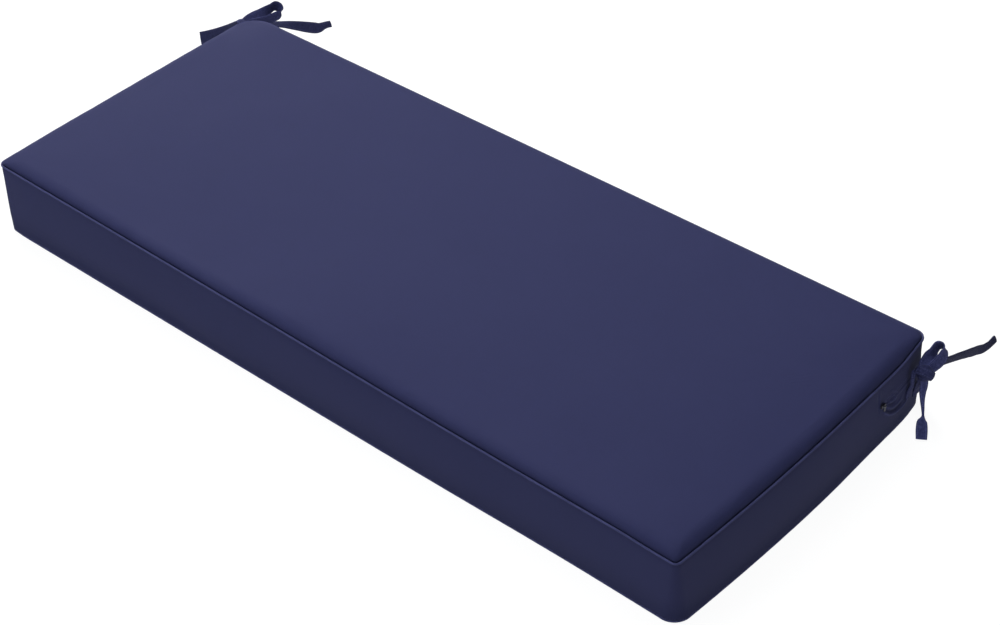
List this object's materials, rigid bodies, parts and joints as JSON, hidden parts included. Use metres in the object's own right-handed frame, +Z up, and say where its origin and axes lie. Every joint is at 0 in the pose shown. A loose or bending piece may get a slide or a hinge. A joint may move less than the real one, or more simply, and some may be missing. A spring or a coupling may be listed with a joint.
{
  "type": "bench cushion",
  "caption": "Long box cushion for a bench, with welted seams, a crowned top, a zip closure in the back of its band and a strap tie near each back corner.",
  "frame": {"origin": "middle of the flat underside, on the surface that the cushion lies on", "axes": "+X along the length, towards the end that carries the zip's slider; +Y from the front to the back, where the ties are; +Z up through the crowned top"},
  "size_m": [1.2889, 0.6056, 0.1147],
  "materials": {
    "cushion_cloth": "matt, plain weave, dusty navy",
    "welt_cloth": "matt, plain weave, dusty navy",
    "strap_cloth": "matt, plain weave, dusty navy",
    "slider_metal": "dark, semi-gloss",
    "pull_metal": "bright"
  },
  "bodies": {
    "root": {"cushion": "cushion_cloth", "top_welt": "welt_cloth", "bottom_welt": "welt_cloth", "tie_right": "strap_cloth", "tie_left": "strap_cloth", "zip_slider": "slider_metal", "zip_pull": "pull_metal"}
  },
  "joints": []
}
